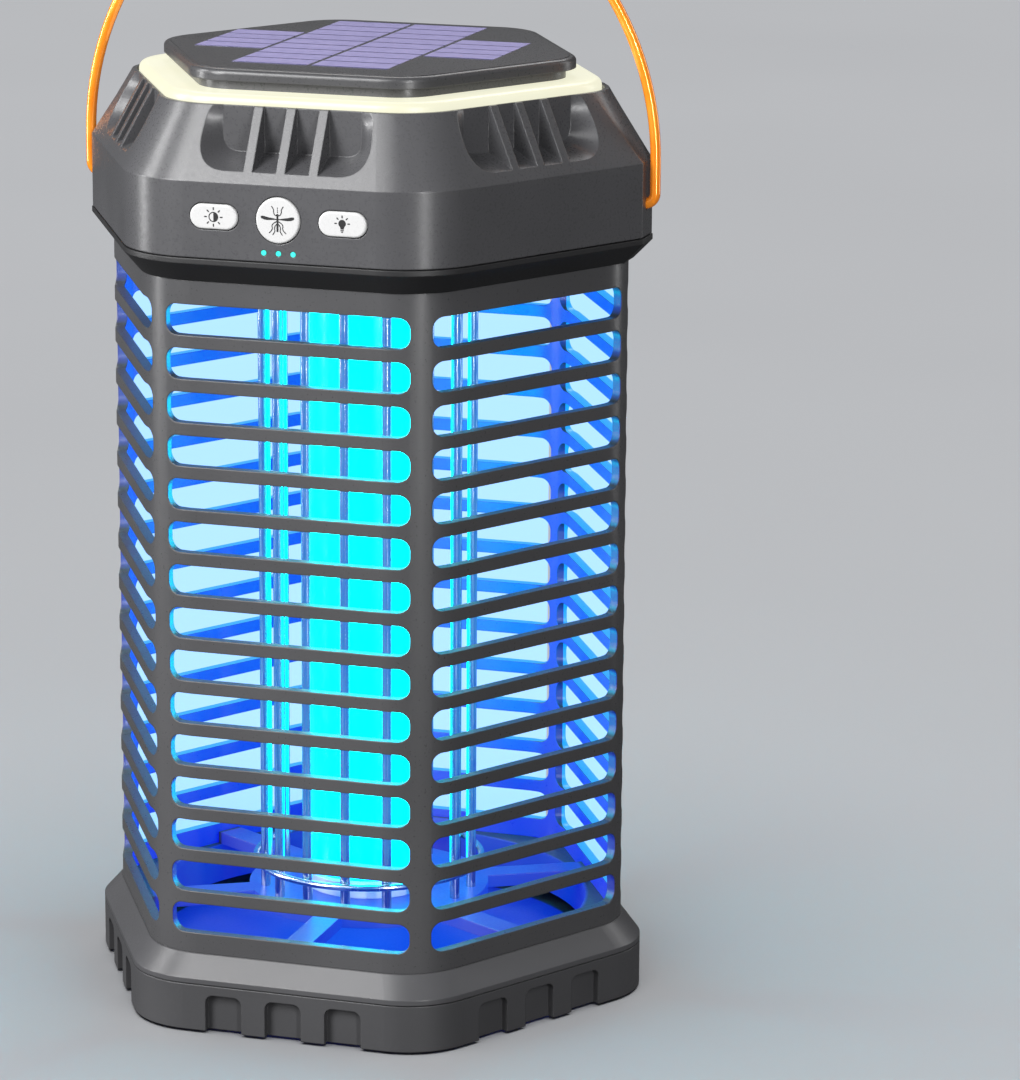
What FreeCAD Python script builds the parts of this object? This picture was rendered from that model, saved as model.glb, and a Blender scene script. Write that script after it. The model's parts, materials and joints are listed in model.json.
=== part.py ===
# Hexagonal solar lantern and insect zapper.
#
# Frame: millimetres, +Z up, origin under the middle of the base on the plane the rubber feet
# stand on. The corners of the hexagon lie at 0, 60, 120 ... degrees, so the carrying bail
# pivots on the corners at +X and -X. The control buttons face -Y and the charging port +Y.
# Heights in the sheet are measured from the lower edge of the base skirt. The whole lantern is
# lifted by foot_proud, which is how far the feet stand out below that edge.
import FreeCAD, Part
import math
import os
from FreeCAD import Vector, Placement, Rotation

os.makedirs("parts", exist_ok=True)
doc = FreeCAD.newDocument("lantern_zapper")
sheet = doc.addObject("Spreadsheet::Sheet", "Sizes")

CELLS = [
    ("foot_proud", 0.6), ("foot_rad", 4.5), ("foot_tall", 2.6), ("foot_circle", 47.0),
    # base tray
    ("tray_apo", 57.0), ("tray_round", 17.0), ("tray_top", 10.3), ("tray_wall", 3.6),
    ("tray_floor_low", 2.0), ("tray_floor_high", 4.0),
    ("notch_wide", 8.3), ("notch_pitch", 13.7), ("notch_high", 8.2), ("notch_deep", 1.8), ("notch_round", 1.8),
    # fixed flange above the tray
    ("flange_low", 10.5), ("flange_lip", 11.65), ("flange_top", 16.2), ("flange_apo_top", 53.3), ("flange_bore", 49.0),
    ("collar_rad", 51.5), ("collar_wall", 2.5), ("collar_low", 7.4), ("lug_out", 52.6), ("lug_high", 1.2),
    # slotted cage
    ("cage_apo", 53.0), ("cage_round", 16.0), ("cage_wall", 2.2), ("cage_top", 164.9),
    ("slot_high", 6.7), ("slot_half", 27.2), ("slot_pitch", 9.448), ("slot_count", 15), ("slot_first", 159.7), ("slot_round", 2.6),
    # head
    ("ring_top", 170.35), ("ring_edge", 169.2), ("ring_apo", 57.0), ("head_low", 170.6), ("band_top", 186.7),
    ("band_apo", 56.8), ("band_round", 20.0), ("facet_x", 63.4), ("rim_high", 201.7), ("rim_apo", 48.5), ("rim_round", 16.0), ("rim_side", 12.0),
    ("head_wall", 2.4), ("lens_seat", 199.9), ("seat_apo", 47.5),
    ("vent_in_half", 15.3), ("vent_out_half", 19.0), ("vent_plane", 48.0), ("vent_in_low", 192.0), ("vent_out_low", 189.0),
    ("vent_in_round", 3.6), ("vent_out_round", 7.0), ("fin_wide", 2.0), ("fin_pitch", 7.2), ("vent_wall", 2.0),
    ("boss_circle", 51.0), ("boss_rad", 3.0), ("screw_rad", 1.4),
    # ring light and panel
    ("lens_apo", 47.3), ("lens_round", 15.0), ("lens_top", 203.7), ("lens_edge", 1.6), ("neck_apo", 37.0), ("neck_round", 9.0), ("neck_top", 203.0),
    ("collar_up_apo", 39.8), ("collar_up_top", 205.7), ("panel_apo", 42.0), ("panel_round", 12.0), ("panel_top", 208.2), ("panel_edge", 1.1),
    ("cell_wide", 16.9), ("cell_long", 69.0), ("cell_side_wide", 15.6), ("cell_side_long", 27.2), ("cell_gap", 1.0), ("cell_x", -2.3), ("cell_y", 3.2),
    # controls
    ("button_z", 179.5), ("button_rad", 4.85), ("pill_long", 10.6), ("pill_high", 5.3), ("pill_x", 14.2), ("button_gap", 0.2),
    ("button_face", 57.3), ("button_rest", 53.3), ("button_edge", 0.45), ("led_z", 172.5), ("led_pitch", 3.24), ("led_rad", 0.55),
    # bail
    ("wire_rad", 1.15), ("bail_x", 65.1), ("pivot_z", 177.5), ("bend_rad", 2.3), ("bail_rise", 9.2), ("loop_rad", 6.3), ("loop_top", 88.0), ("loop_fillet", 5.0), ("wire_end", 56.0),
    # killing grid and lamp
    ("deck_top", 164.9), ("deck_low", 162.9), ("grid_floor_low", 16.2), ("grid_floor_top", 19.0), ("rod_rad", 1.1), ("rod_circle", 23.5), ("rod_count", 16), ("rod_start", 6.15),
    ("tube_rad", 13.0), ("tube_wall", 1.6), ("cap_rad", 14.5), ("cap_high", 3.5),
    # charging port
    ("port_z", 179.0), ("port_wide", 15.0), ("port_high", 8.0), ("port_deep", 1.4), ("flap_thick", 1.5), ("pin_rad", 0.3),
]
S = {}
for row, (alias, value) in enumerate(CELLS, 1):
    sheet.set("A%d" % row, alias)
    sheet.set("B%d" % row, repr(value))
    sheet.setAlias("B%d" % row, alias)
    S[alias] = float(value)
doc.recompute()

COS30 = math.cos(math.radians(30))
OUT = {}                      # node name -> document object


def bind(obj, **exprs):
    """Bind properties to sheet cells; __ in a name stands for a dot."""
    for prop, expr in exprs.items():
        obj.setExpression(prop.replace("__", "."), sizes(expr))
    return obj


def sizes(expr):
    """Write every alias in an expression as a cell of the sheet."""
    out, word = "", ""
    for ch in str(expr) + " ":
        if ch.isalnum() or ch == "_":
            word += ch
        else:
            out += ("Sizes." + word) if word in S else word
            word = ""
            out += ch
    return out.strip()


def lift(obj, base=None, rot=None):
    """Give a sub-part its place: the whole lantern stands foot_proud above the floor."""
    b = base or Vector(0, 0, 0)
    obj.Placement = Placement(Vector(b.x, b.y, b.z), rot or Rotation())
    obj.setExpression("Placement.Base.z", "Sizes.foot_proud + %r" % float(b.z))
    return obj


def node(name, obj):
    obj.Label = name
    OUT[name] = obj
    return obj


def body(name):
    b = doc.addObject("PartDesign::Body", name)
    lift(b)
    return node(name, b)


def plane(b, role):
    return [f for f in b.Origin.OriginFeatures if f.Role == role][0]


def axis(b, role):
    return (plane(b, role), [""])


def upright(feature, low, high, inside=None, outside=None):
    """Names of a feature's vertical straight edges between two heights, by distance from the axis."""
    names = []
    for i, e in enumerate(feature.Shape.Edges, 1):
        if len(e.Vertexes) != 2:
            continue
        a, c = e.Vertexes[0].Point, e.Vertexes[1].Point
        if abs(a.x - c.x) > 1e-5 or abs(a.y - c.y) > 1e-5 or abs(a.z - c.z) < 1e-3:
            continue
        rad = math.hypot(a.x, a.y)
        zm = (a.z + c.z) / 2
        if low <= zm <= high and (inside is None or rad < inside) and (outside is None or rad > outside):
            names.append("Edge%d" % i)
    return names


def hexagon(b, name, apo, low, height, rnd=None, cut=False):
    """Add or cut a hexagonal prism with rounded upright corners."""
    before = b.Tip
    kind = "PartDesign::SubtractivePrism" if cut else "PartDesign::AdditivePrism"
    p = b.newObject(kind, name)
    p.AttachmentSupport = [(plane(b, "XY_Plane"), "")]
    p.MapMode = "FlatFace"
    p.Polygon = 6
    bind(p, Circumradius="(%s) / cos(30)" % apo, Height=height, AttachmentOffset__Base__z=low)
    doc.recompute()
    if rnd is None:
        return p
    rad = p.Circumradius.Value
    z0 = p.AttachmentOffset.Base.z
    edges = []
    for n in upright(p, z0 - 0.01, z0 + p.Height.Value + 0.01, rad + 0.05, rad - 0.05):
        edges.append(n)
    f = b.newObject("PartDesign::Fillet", name + "_round")
    f.Base = (p, edges)
    bind(f, Radius=rnd)
    doc.recompute()
    return f


def soften(b, f, name, level, rnd):
    """Round every edge of a feature that lies at one height."""
    edges = [n for n in ["Edge%d" % i for i in range(1, len(f.Shape.Edges) + 1)]
             if all(abs(v.Point.z - S[level]) < 1e-4 for v in f.Shape.getElement(n).Vertexes)]
    fl = b.newObject("PartDesign::Fillet", name)
    fl.Base = (f, edges)
    bind(fl, Radius=rnd)
    doc.recompute()
    return fl


def disc(b, name, rad, low, height, cut=False, x=None, y=None):
    kind = "PartDesign::SubtractiveCylinder" if cut else "PartDesign::AdditiveCylinder"
    p = b.newObject(kind, name)
    p.AttachmentSupport = [(plane(b, "XY_Plane"), "")]
    p.MapMode = "FlatFace"
    bind(p, Radius=rad, Height=height, AttachmentOffset__Base__z=low)
    if x is not None:
        bind(p, AttachmentOffset__Base__x=x, AttachmentOffset__Base__y=y)
    doc.recompute()
    return p


def slab(b, name, wide, deep, high, x, y, z, cut=False):
    """A box centred in x and y on the given point, standing on height z."""
    kind = "PartDesign::SubtractiveBox" if cut else "PartDesign::AdditiveBox"
    p = b.newObject(kind, name)
    p.AttachmentSupport = [(plane(b, "XY_Plane"), "")]
    p.MapMode = "FlatFace"
    bind(p, Length=wide, Width=deep, Height=high,
         AttachmentOffset__Base__x="(%s) - (%s) / 2" % (x, wide),
         AttachmentOffset__Base__y="(%s) - (%s) / 2" % (y, deep), AttachmentOffset__Base__z=z)
    doc.recompute()
    return p


def roller(b, name, rad, wide, y, z):
    """A cylinder lying along X, centred on the given point."""
    p = b.newObject("PartDesign::AdditiveCylinder", name)
    p.AttachmentSupport = [(plane(b, "YZ_Plane"), "")]
    p.MapMode = "FlatFace"
    bind(p, Radius=rad, Height=wide, AttachmentOffset__Base__x=y, AttachmentOffset__Base__y=z,
         AttachmentOffset__Base__z="-(%s) / 2" % wide)
    doc.recompute()
    return p


def rounded_rect(sk, w, h, r, cx=0.0, cy=0.0, open_bottom=False):
    """A rectangle with round corners in a sketch; the lower corners stay sharp if asked."""
    x0, x1, y0, y1 = cx - w / 2, cx + w / 2, cy - h / 2, cy + h / 2
    z = Vector(0, 0, 1)

    def arc(x, y, a0, a1):
        sk.addGeometry(Part.ArcOfCircle(Part.Circle(Vector(x, y, 0), z, r), math.radians(a0), math.radians(a1)), False)

    def line(ax, ay, bx, by):
        sk.addGeometry(Part.LineSegment(Vector(ax, ay, 0), Vector(bx, by, 0)), False)

    low = 0.0 if open_bottom else r
    line(x0 + low, y0, x1 - low, y0)
    if not open_bottom:
        arc(x1 - r, y0 + r, -90, 0)
    line(x1, y0 + low, x1, y1 - r)
    arc(x1 - r, y1 - r, 0, 90)
    if w - 2 * r > 1e-6:
        line(x1 - r, y1, x0 + r, y1)
    arc(x0 + r, y1 - r, 90, 180)
    line(x0, y1 - r, x0, y0 + low)
    if not open_bottom:
        arc(x0 + r, y0 + r, 180, 270)


def front_sketch(b, name, off):
    """A sketch in a plane parallel to XZ, off millimetres towards -Y; its x is +X, its y is +Z."""
    sk = b.newObject("Sketcher::SketchObject", name)
    sk.AttachmentSupport = [(plane(b, "XZ_Plane"), "")]
    sk.MapMode = "FlatFace"
    bind(sk, AttachmentOffset__Base__z=off)
    return sk


def outline(apo, rnd, z, side=None, facet=None):
    """A hexagon wire with rounded corners; the corners on the X axis may differ or be cut flat."""
    pts = []
    for k in range(6):
        th = math.radians(60 * k)
        on_x = k in (0, 3)
        if on_x and facet is not None:
            depth = apo / COS30 - facet
            half = depth * math.tan(math.radians(60))
            c, s = math.cos(th), math.sin(th)
            a = Vector(facet * c + half * s, facet * s - half * c, z)
            e = Vector(facet * c - half * s, facet * s + half * c, z)
            pts.append((a, None, e))
            continue
        r = side if (on_x and side is not None) else rnd
        d = (apo - r) / COS30
        cx, cy = d * math.cos(th), d * math.sin(th)

        def at(t):
            return Vector(cx + r * math.cos(t), cy + r * math.sin(t), z)
        pts.append((at(th - math.radians(30)), at(th), at(th + math.radians(30))))
    edges = []
    for k in range(6):
        a, m, e = pts[k]
        edges.append(Part.makeLine(a, e) if m is None else Part.Arc(a, m, e).toShape())
        edges.append(Part.makeLine(e, pts[(k + 1) % 6][0]))
    return Part.Wire(edges)


def loft(*wires):
    return Part.makeLoft(list(wires), True, True)


def upward(wire, high):
    return Part.Face(wire).extrude(Vector(0, 0, high))


def feature(name, shape):
    f = doc.addObject("Part::Feature", name)
    f.Shape = shape
    lift(f)
    return node(name, f)


def group(name, objs):
    c = doc.addObject("Part::Compound", name)
    c.Links = objs
    lift(c)
    return node(name, c)


def cylinder(name, rad, high, x, y, z, direction=None):
    c = doc.addObject("Part::Cylinder", name)
    bind(c, Radius=rad, Height=high)
    rot = Rotation(Vector(0, 0, 1), direction) if direction else Rotation()
    c.Placement = Placement(Vector(x, y, z), rot)
    return c


def block(name, dx, dy, dz, x, y, z):
    """A plain box centred on x, y, standing on z."""
    c = doc.addObject("Part::Box", name)
    bind(c, Length=dx, Width=dy, Height=dz)
    c.Placement = Placement(Vector(x, y, z), Rotation())
    bind(c, Placement__Base__x="%r - (%s) / 2" % (float(x), dx), Placement__Base__y="%r - (%s) / 2" % (float(y), dy))
    return c


def lone_block(name, dx, dy, dz, x, y, z):
    """A sub-part that is one box, by its lowest corner."""
    c = doc.addObject("Part::Box", name)
    bind(c, Length=dx, Width=dy, Height=dz)
    lift(c, Vector(x, y, z))
    return node(name, c)


# ---------------------------------------------------------------- base tray and feet
b = body("tray")
hexagon(b, "tray_outer", "tray_apo", "0", "tray_top", "tray_round")
hexagon(b, "tray_cavity", "tray_apo - tray_wall", "tray_floor_high", "tray_top - tray_floor_high + 1", "tray_round - tray_wall", cut=True)
hexagon(b, "tray_recess", "tray_apo - tray_wall", "-1", "tray_floor_low + 1", "tray_round - tray_wall", cut=True)
sk = front_sketch(b, "notch_shape", "tray_apo")
for i in (-1, 0, 1):
    rounded_rect(sk, S["notch_wide"], S["notch_high"] + 1.0, S["notch_round"], i * S["notch_pitch"], S["notch_high"] / 2 - 0.5, open_bottom=True)
pk = b.newObject("PartDesign::Pocket", "notches")
pk.Profile = sk
bind(pk, Length="notch_deep")
doc.recompute()
pp = b.newObject("PartDesign::PolarPattern", "notches_round")
pp.Originals = [pk]
pp.Axis = (plane(b, "Z_Axis"), [""])
pp.Angle = 360
pp.Occurrences = 6
b.Tip = pp
doc.recompute()
# three short bayonet ledges inside the tray rim, above the lugs of the collar when it is locked
ledge = b.newObject("Sketcher::SketchObject", "ledge_shape")
ledge.AttachmentSupport = [(plane(b, "XY_Plane"), "")]
ledge.MapMode = "FlatFace"
bind(ledge, AttachmentOffset__Base__z="collar_low + lug_high + 0.25")
for k in (0, 1, 2):
    mid = 30 + 120 * k
    a0, a1 = math.radians(mid - 5), math.radians(mid + 5)
    ri, ro = S["collar_rad"] + 0.3, S["tray_apo"] - 2.0
    z = Vector(0, 0, 1)
    ledge.addGeometry(Part.ArcOfCircle(Part.Circle(Vector(), z, ri), a0, a1), False)
    ledge.addGeometry(Part.ArcOfCircle(Part.Circle(Vector(), z, ro), a0, a1), False)
    for a in (a0, a1):
        ledge.addGeometry(Part.LineSegment(Vector(ri * math.cos(a), ri * math.sin(a), 0), Vector(ro * math.cos(a), ro * math.sin(a), 0)), False)
pd = b.newObject("PartDesign::Pad", "bayonet_ledges")
pd.Profile = ledge
bind(pd, Length="tray_top - (collar_low + lug_high + 0.25) - 0.1")
doc.recompute()

group("rubber_feet", [cylinder("foot_%d" % k, "foot_rad", "foot_tall", S["foot_circle"] * math.cos(math.radians(60 * k)),
                               S["foot_circle"] * math.sin(math.radians(60 * k)), -S["foot_proud"]) for k in range(6)])

# ---------------------------------------------------------------- fixed flange with its round bayonet collar
lip = upward(outline(S["tray_apo"], S["tray_round"], S["flange_low"]), S["flange_lip"] - S["flange_low"])
slope = loft(outline(S["tray_apo"], S["tray_round"], S["flange_lip"]), outline(S["flange_apo_top"], S["cage_round"], S["flange_top"]))
collar = Part.makeCylinder(S["collar_rad"], S["flange_low"] - S["collar_low"] + 1, Vector(0, 0, S["collar_low"]))
ring = lip.fuse([slope, collar])
ring = ring.cut(Part.makeCylinder(S["flange_bore"], 30, Vector(0, 0, 0)))
for k in (0, 1, 2):
    lug = Part.makeCylinder(S["lug_out"], S["lug_high"], Vector(0, 0, S["collar_low"]), Vector(0, 0, 1), 10)
    lug = lug.cut(Part.makeCylinder(S["collar_rad"] - 1, 5, Vector(0, 0, S["collar_low"] - 1)))
    lug.rotate(Vector(), Vector(0, 0, 1), 25 + 120 * k)
    ring = ring.fuse(lug)
feature("base_flange", ring.removeSplitter())

# ---------------------------------------------------------------- slotted cage
b = body("cage")
hexagon(b, "cage_outer", "cage_apo", "flange_top", "cage_top - flange_top", "cage_round")
hexagon(b, "cage_inner", "cage_apo - cage_wall", "flange_top - 1", "cage_top - flange_top + 2", "cage_round - cage_wall", cut=True)
sk = front_sketch(b, "slot_shape", "cage_apo + 0.5")
rounded_rect(sk, 2 * S["slot_half"], S["slot_high"], S["slot_round"], 0.0, S["slot_first"] - S["slot_high"] / 2)
pk = b.newObject("PartDesign::Pocket", "slot")
pk.Profile = sk
pk.Length = 6.0
doc.recompute()
mt = b.newObject("PartDesign::MultiTransform", "slots")
mt.Originals = [pk]
lp = b.newObject("PartDesign::LinearPattern", "slots_down")
lp.Direction = (plane(b, "Z_Axis"), [""])
lp.Reversed = True
bind(lp, Length="slot_pitch * (slot_count - 1)", Occurrences="slot_count")
pp = b.newObject("PartDesign::PolarPattern", "slots_round")
pp.Axis = (plane(b, "Z_Axis"), [""])
pp.Angle = 360
pp.Occurrences = 6
mt.Transformations = [lp, pp]
b.Tip = mt
doc.recompute()

# ---------------------------------------------------------------- head: lower ring, shell with vents
wall = S["head_wall"]
inner_a = S["cage_apo"] - S["cage_wall"]
inner_r = S["cage_round"] - S["cage_wall"]
ring = loft(outline(S["cage_apo"] + 0.3, S["cage_round"], S["cage_top"], facet=S["facet_x"] - 4.0),
            outline(S["ring_apo"], S["band_round"], S["ring_edge"], facet=S["facet_x"] + 0.2))
ring = ring.fuse(upward(outline(S["ring_apo"], S["band_round"], S["ring_edge"], facet=S["facet_x"] + 0.2), S["ring_top"] - S["ring_edge"]))
ring = ring.cut(upward(outline(inner_a, inner_r, S["cage_top"] - 1), 12))
feature("head_lower_ring", ring.removeSplitter())

gasket = upward(outline(S["band_apo"] - 0.7, S["band_round"] - 0.7, S["ring_top"], facet=S["facet_x"] - 0.7), S["head_low"] - S["ring_top"])
gasket = gasket.cut(upward(outline(inner_a, inner_r, S["ring_top"] - 1), 4))
feature("head_gasket", gasket)


def band_wire(off, z):
    return outline(S["band_apo"] - off, S["band_round"] - off, z, facet=S["facet_x"] - off)


def rim_wire(off, z):
    """Outline of the roof where it ends at its rim."""
    return outline(S["rim_apo"] - off, S["rim_round"] - off, z, side=S["rim_side"] - off)


outer = upward(band_wire(0, S["head_low"]), S["band_top"] - S["head_low"]).fuse(
    loft(band_wire(0, S["band_top"]), rim_wire(0, S["rim_high"])))
hollow = upward(band_wire(wall, S["head_low"] - 1), S["band_top"] - S["head_low"] + 1).fuse(
    loft(band_wire(wall, S["band_top"]), rim_wire(wall, S["rim_high"])))
top_cut = upward(outline(S["seat_apo"], S["rim_round"] - 1, S["lens_seat"], side=S["rim_side"] - 1), 4)


def bucket(in_half, in_low, in_r, plane_n, out_half, out_low, out_r, proud):
    """The tapered pocket of one vent, on the -Y face, between its upright back and a plane along the roof."""
    top = S["rim_high"] + 1.5
    lean = (S["band_apo"] - S["rim_apo"]) / (S["rim_high"] - S["band_top"])

    def wire(half, low, r, depth):
        def p(x, z):
            return Vector(x, -depth(z), z)
        q = [p(-half, top), p(half, top), p(half, low + r), p(half - r, low), p(-half + r, low), p(-half, low + r)]
        c1 = p(half, low)
        c2 = p(-half, low)
        return Part.Wire([Part.makeLine(q[0], q[1]), Part.makeLine(q[1], q[2]), Part.Edge(bezier(q[2], c1, q[3])), Part.makeLine(q[3], q[4]),
                          Part.Edge(bezier(q[4], c2, q[5])), Part.makeLine(q[5], q[0])])

    back = wire(in_half, in_low, in_r, lambda z: plane_n)
    front = wire(out_half, out_low, out_r, lambda z: S["band_apo"] - lean * (z - S["band_top"]) + proud)
    return loft(back, front)


def bezier(a, ctrl, e):
    c = Part.BezierCurve()
    c.setPoles([a, ctrl, e])
    return c


cutter = bucket(S["vent_in_half"], S["vent_in_low"], S["vent_in_round"], S["vent_plane"],
                S["vent_out_half"] + 0.2, S["vent_out_low"] - 0.2, S["vent_out_round"], 0.5)
w = S["vent_wall"]
housing = bucket(S["vent_in_half"] + w, S["vent_in_low"] - w, S["vent_in_round"] + w, S["vent_plane"] - w,
                 S["vent_out_half"] + w, S["vent_out_low"] - w, S["vent_out_round"] + w, -0.2)
fins = []
for i in (-1, 0, 1):
    fins.append(Part.makeBox(S["fin_wide"], 14, 18, Vector(i * S["fin_pitch"] - S["fin_wide"] / 2, -58, S["vent_out_low"] - 3)))
fin_set = fins[0].fuse(fins[1:]).common(outer).common(cutter)

shell = outer.cut(hollow)
for k in range(6):
    h = housing.copy()
    h.rotate(Vector(), Vector(0, 0, 1), 60 * k)
    shell = shell.fuse(h.common(outer))
for k in (1, 2, 4, 5):
    c, s = math.cos(math.radians(60 * k)), math.sin(math.radians(60 * k))
    post = Part.makeCylinder(S["boss_rad"], 34, Vector(S["boss_circle"] * c, S["boss_circle"] * s, S["deck_top"]))
    keep = outer.fuse(upward(outline(inner_a, inner_r, S["deck_top"]), 8))
    shell = shell.fuse(post.common(keep))
for k in (1, 2, 4, 5):
    c, s = math.cos(math.radians(60 * k)), math.sin(math.radians(60 * k))
    shell = shell.cut(Part.makeCylinder(S["screw_rad"], 9, Vector(S["boss_circle"] * c, S["boss_circle"] * s, S["deck_top"] - 0.5)))
shell = shell.cut(top_cut)
for k in range(6):
    cut = cutter.copy()
    cut.rotate(Vector(), Vector(0, 0, 1), 60 * k)
    shell = shell.cut(cut)
for k in range(6):
    f = fin_set.cut(top_cut)
    f.rotate(Vector(), Vector(0, 0, 1), 60 * k)
    shell = shell.fuse(f)
# openings for the buttons, the indicator light pipes, the bail and the charging port
g = S["button_gap"]
holes = [Part.makeCylinder(S["button_rad"] + g, 8, Vector(0, -60, S["button_z"]), Vector(0, 1, 0))]


def pill(x, half, rad, y0, deep):
    a = Part.makeCylinder(rad, deep, Vector(x - half, y0, S["button_z"]), Vector(0, 1, 0))
    c = Part.makeCylinder(rad, deep, Vector(x + half, y0, S["button_z"]), Vector(0, 1, 0))
    m = Part.makeBox(2 * half, deep, 2 * rad, Vector(x - half, y0, S["button_z"] - rad))
    return a.fuse([m, c]).removeSplitter()


pr = S["pill_high"] / 2
ph = S["pill_long"] / 2 - pr
for x in (-S["pill_x"], S["pill_x"]):
    holes.append(pill(x, ph, pr + g, -60, 8))
for i in (-1, 0, 1):
    holes.append(Part.makeCylinder(S["led_rad"] + 0.05, 8, Vector(i * S["led_pitch"], -60, S["led_z"]), Vector(0, 1, 0)))
for sgn in (-1, 1):
    holes.append(Part.makeCylinder(S["wire_rad"] + 0.25, 12, Vector(sgn * 55, 0, S["pivot_z"]), Vector(sgn, 0, 0)))
holes.append(Part.makeBox(S["port_wide"], 6, S["port_high"], Vector(-S["port_wide"] / 2, S["band_apo"] - S["port_deep"], S["port_z"] - S["port_high"] / 2)))
holes.append(Part.makeBox(9.6, 8, 3.8, Vector(-4.8, 50, S["port_z"] - 1.9)))
holes.append(Part.makeCylinder(S["pin_rad"] + 0.06, S["port_wide"] + 1.6,
                               Vector(-S["port_wide"] / 2 - 0.8, S["band_apo"] - S["port_deep"] + 0.1 + S["flap_thick"] / 2,
                                      S["port_z"] - S["port_high"] / 2 + 0.25 + S["flap_thick"] / 2), Vector(1, 0, 0)))
for h in holes:
    shell = shell.cut(h)
feature("head_shell", shell.removeSplitter())

# ---------------------------------------------------------------- ring light
b = body("lamp_reflector")
hexagon(b, "reflector_outer", "45.5", "195.0", "1.4", "30")
disc(b, "reflector_hole", "12", "194", "4", cut=True)
b = body("lamp_led_board")
hexagon(b, "ledboard_outer", "42.5", "196.4", "1.2", "13")
hexagon(b, "ledboard_inner", "37.4", "195.4", "4", "10", cut=True)
chips = []
for k in range(6):
    for t in (-16, -8, 0, 8, 16):
        c = doc.addObject("Part::Box", "chip_%d_%d" % (k, t + 20))
        c.Length, c.Width, c.Height = 3.4, 2.8, 0.9
        r = Rotation(Vector(0, 0, 1), 60 * k)
        c.Placement = Placement(r.multVec(Vector(t - 1.7, -41.4, 197.6)), r)
        chips.append(c)
group("lamp_leds", chips)
b = body("lamp_lens")
f = hexagon(b, "lens_outer", "lens_apo", "lens_seat", "lens_top - lens_seat", "lens_round")
soften(b, f, "lens_edge_round", "lens_top", "lens_edge")
hexagon(b, "lens_inner", "collar_up_apo + 0.15", "lens_seat - 1", "lens_top - lens_seat + 2", "panel_round - 2.2", cut=True)

# ---------------------------------------------------------------- neck and solar panel
b = body("panel_neck_lower")
hexagon(b, "neck_outer", "neck_apo", "196.4", "neck_top - 196.4", "neck_round")
hexagon(b, "neck_inner", "neck_apo - 2", "195.4", "neck_top - 194.4", "neck_round - 2", cut=True)
b = body("panel_neck_upper")
hexagon(b, "collar_outer", "collar_up_apo", "neck_top", "collar_up_top - neck_top", "panel_round - 2.2")
hexagon(b, "collar_inner", "neck_apo - 2", "neck_top - 1", "collar_up_top - neck_top + 2", "neck_round - 2", cut=True)
b = body("panel_frame")
f = hexagon(b, "frame_outer", "panel_apo", "collar_up_top", "panel_top - collar_up_top", "panel_round")
soften(b, f, "frame_edge", "panel_top", "panel_edge")
b = body("solar_laminate")
hexagon(b, "laminate", "panel_apo - 1.4", "panel_top", "0.1", "panel_round - 1.4")
cell_list = []
top_z = S["panel_top"] + 0.1
cw, cg, cs = S["cell_wide"], S["cell_gap"], S["cell_side_wide"]
for sgn in (-1, 1):
    cell_list.append(block("cell_mid_%d" % (sgn + 1), "cell_wide", "cell_long", "0.08", S["cell_x"] + sgn * (cg / 2 + cw / 2), S["cell_y"], top_z))
    cell_list.append(block("cell_side_%d" % (sgn + 1), "cell_side_wide", "cell_side_long", "0.08", S["cell_x"] + sgn * (cg * 1.5 + cw + cs / 2), S["cell_y"] + 0.2, top_z))
group("solar_cells", cell_list)

# ---------------------------------------------------------------- controls
def turned(name, parts):
    """A button: separate coaxial lengths along Y, fused into one moulding."""
    f = doc.addObject("Part::MultiFuse", name + "_solid")
    f.Shapes = parts
    f.Refine = True
    doc.recompute()
    r = S["button_edge"]
    rim = [(i, r, r) for i, e in enumerate(f.Shape.Edges, 1) if all(abs(v.Point.y + S["button_face"]) < 1e-4 for v in e.Vertexes)]
    soft = doc.addObject("Part::Fillet", name)
    soft.Base = f
    soft.Edges = rim
    lift(soft)
    return node(name, soft)


cap = cylinder("round_cap", "button_rad", "button_face - 54.3", 0, -S["button_face"], S["button_z"], Vector(0, 1, 0))
fln = cylinder("round_flange", "button_rad + 0.8", "54.3 - button_rest", 0, -54.3, S["button_z"], Vector(0, 1, 0))
turned("button_power", [cap, fln])
for name, x in (("button_dimmer", -S["pill_x"]), ("button_lamp", S["pill_x"])):
    parts = []
    for tag, extra, y0, deep in (("cap", 0.0, -S["button_face"], "button_face - 54.3"), ("flange", 0.7, -54.3, "54.3 - button_rest")):
        for sgn in (-1, 1):
            parts.append(cylinder("%s_%s_%d" % (name, tag, sgn + 1), "pill_high / 2 + %r" % extra, deep, x + sgn * ph, y0, S["button_z"], Vector(0, 1, 0)))
        bx = doc.addObject("Part::Box", "%s_%s_mid" % (name, tag))
        bind(bx, Length="pill_long - pill_high", Width=deep, Height="pill_high + %r" % (2 * extra))
        bx.Placement = Placement(Vector(x - ph, y0, S["button_z"] - pr - extra), Rotation())
        parts.append(bx)
    turned(name, parts)
group("indicator_light_pipes", [cylinder("pipe_%d" % (i + 1), "led_rad", "6.4", i * S["led_pitch"], -56.9, S["led_z"], Vector(0, 1, 0)) for i in (-1, 0, 1)])
lone_block("switch_board", "48", "1.6", "15.4", -24, -49.6, 170.8)
tacts = [block("tact_%d" % (i + 1), "6", "2.8", "6", i * S["pill_x"], -51.0, S["button_z"] - 3) for i in (-1, 0, 1)]
group("tact_switches", tacts)
group("indicator_leds", [block("indicator_%d" % (i + 1), "1.6", "0.8", "1.0", i * S["led_pitch"], -50.0, S["led_z"] - 0.5) for i in (-1, 0, 1)])

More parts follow.
